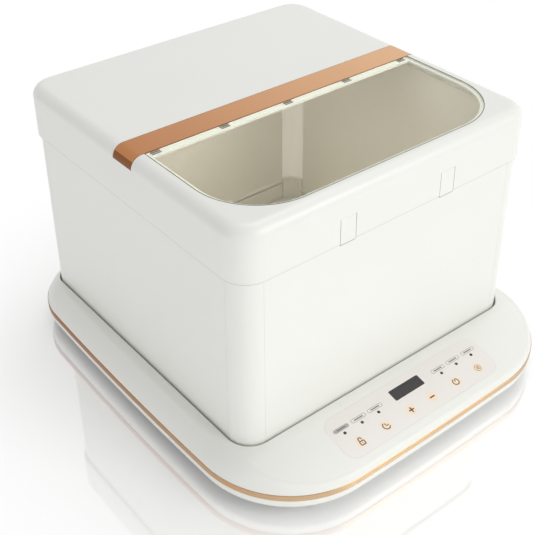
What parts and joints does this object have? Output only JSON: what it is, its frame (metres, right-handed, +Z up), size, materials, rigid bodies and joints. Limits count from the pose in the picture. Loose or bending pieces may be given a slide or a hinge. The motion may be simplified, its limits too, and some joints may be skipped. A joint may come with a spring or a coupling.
{
  "type": "dough proofer",
  "caption": "Folding dough proofer: heated base with a sloping touch panel, walls that fold flat into its well and a lift-off lid with a clear front window.",
  "frame": {"origin": "bottom centre of the base, on the surface it stands on", "axes": "+Z up, -Y towards the control panel at the front, +X to the right seen from the front"},
  "size_m": [0.4124, 0.461, 0.2881],
  "materials": {
    "white_plastic": "satin",
    "copper_trim": "satin",
    "rubber": "matte",
    "steel": "satin",
    "aluminium_plate": "satin",
    "heater_film": "satin",
    "insulation": "matte",
    "dark_parts": "matte",
    "clear_plastic": "gloss",
    "panel_film": "satin",
    "smoked_plastic": "gloss",
    "lens_plastic": "satin",
    "conductive_foam": "matte",
    "circuit_board": "satin",
    "cable_plastic": "satin",
    "soft_white": "matte",
    "lining": "matte"
  },
  "bodies": {
    "base": {"base_top_shell": "white_plastic", "base_trim_ring": "copper_trim", "base_bottom_cover": "white_plastic", "rubber_feet": "rubber", "base_screws": "steel", "heater_plate": "aluminium_plate", "heating_element": "heater_film", "insulation_pad": "insulation", "thermal_cutout": "dark_parts", "temperature_sensor": "dark_parts", "hinge_pins": "steel", "block_screws": "steel", "control_panel_film": "panel_film", "display_window": "smoked_plastic", "display_module": "dark_parts", "indicator_lenses": "lens_plastic", "indicator_lamps": "dark_parts", "touch_key_pads": "conductive_foam", "control_board": "circuit_board", "board_screws": "steel", "power_board": "circuit_board", "power_components": "dark_parts", "ribbon_cable": "cable_plastic", "power_inlet": "dark_parts", "inlet_pins": "steel", "inlet_lead": "cable_plastic", "heater_leads": "cable_plastic", "hinge_sills": "lining", "hinge_block_front_left": "white_plastic", "corner_strip_front_left": "soft_white", "hinge_block_front_right": "white_plastic", "corner_strip_front_right": "soft_white", "hinge_block_back_left": "white_plastic", "corner_strip_back_left": "soft_white", "hinge_block_back_right": "white_plastic", "corner_strip_back_right": "soft_white"},
    "front_wall": {"front_wall": "white_plastic", "front_wall_lining": "lining"},
    "back_wall": {"back_wall": "white_plastic", "back_wall_lining": "lining"},
    "left_wall": {"left_wall": "white_plastic", "left_wall_lining": "lining"},
    "right_wall": {"right_wall": "white_plastic", "right_wall_lining": "lining"},
    "lid": {"lid_cover": "white_plastic", "window_pane": "clear_plastic", "window_clips": "white_plastic", "lid_strip": "copper_trim"},
    "latch_front_left": {"latch_tab_front_left": "white_plastic"},
    "latch_front_right": {"latch_tab_front_right": "white_plastic"},
    "latch_back_left": {"latch_tab_back_left": "white_plastic"},
    "latch_back_right": {"latch_tab_back_right": "white_plastic"}
  },
  "joints": [
    {"name": "left_wall_fold", "type": "hinge", "parent": "base", "child": "left_wall", "pos_m": [-0.1745, 0.0235, 0.0245], "axis": [0, 1, 0], "range_deg": [0, 90]},
    {"name": "right_wall_fold", "type": "hinge", "parent": "base", "child": "right_wall", "pos_m": [0.1745, 0.0235, 0.031], "axis": [0, -1, 0], "range_deg": [0, 90]},
    {"name": "front_wall_fold", "type": "hinge", "parent": "base", "child": "front_wall", "pos_m": [0, -0.1523, 0.0375], "axis": [-1, 0, 0], "range_deg": [0, 90], "deforming": ["corner_strip_front_left", "corner_strip_front_right"]},
    {"name": "back_wall_fold", "type": "hinge", "parent": "base", "child": "back_wall", "pos_m": [0, 0.1993, 0.044], "axis": [1, 0, 0], "range_deg": [0, 90], "deforming": ["corner_strip_back_left", "corner_strip_back_right"]},
    {"name": "lid_lift", "type": "slide", "parent": "base", "child": "lid", "axis": [0, 0, 1], "range_m": [0, 0.12]},
    {"name": "latch_front_left_flex", "type": "hinge", "parent": "lid", "child": "latch_front_left", "pos_m": [-0.062, -0.15655, 0.25815], "axis": [-1, 0, 0], "range_deg": [0, 8], "stiffness_Nm_per_rad": 0.05},
    {"name": "latch_front_right_flex", "type": "hinge", "parent": "lid", "child": "latch_front_right", "pos_m": [0.062, -0.15655, 0.25815], "axis": [-1, 0, 0], "range_deg": [0, 8], "stiffness_Nm_per_rad": 0.05},
    {"name": "latch_back_left_flex", "type": "hinge", "parent": "lid", "child": "latch_back_left", "pos_m": [-0.062, 0.20355, 0.25815], "axis": [1, 0, 0], "range_deg": [0, 8], "stiffness_Nm_per_rad": 0.05},
    {"name": "latch_back_right_flex", "type": "hinge", "parent": "lid", "child": "latch_back_right", "pos_m": [0.062, 0.20355, 0.25815], "axis": [1, 0, 0], "range_deg": [0, 8], "stiffness_Nm_per_rad": 0.05}
  ]
}
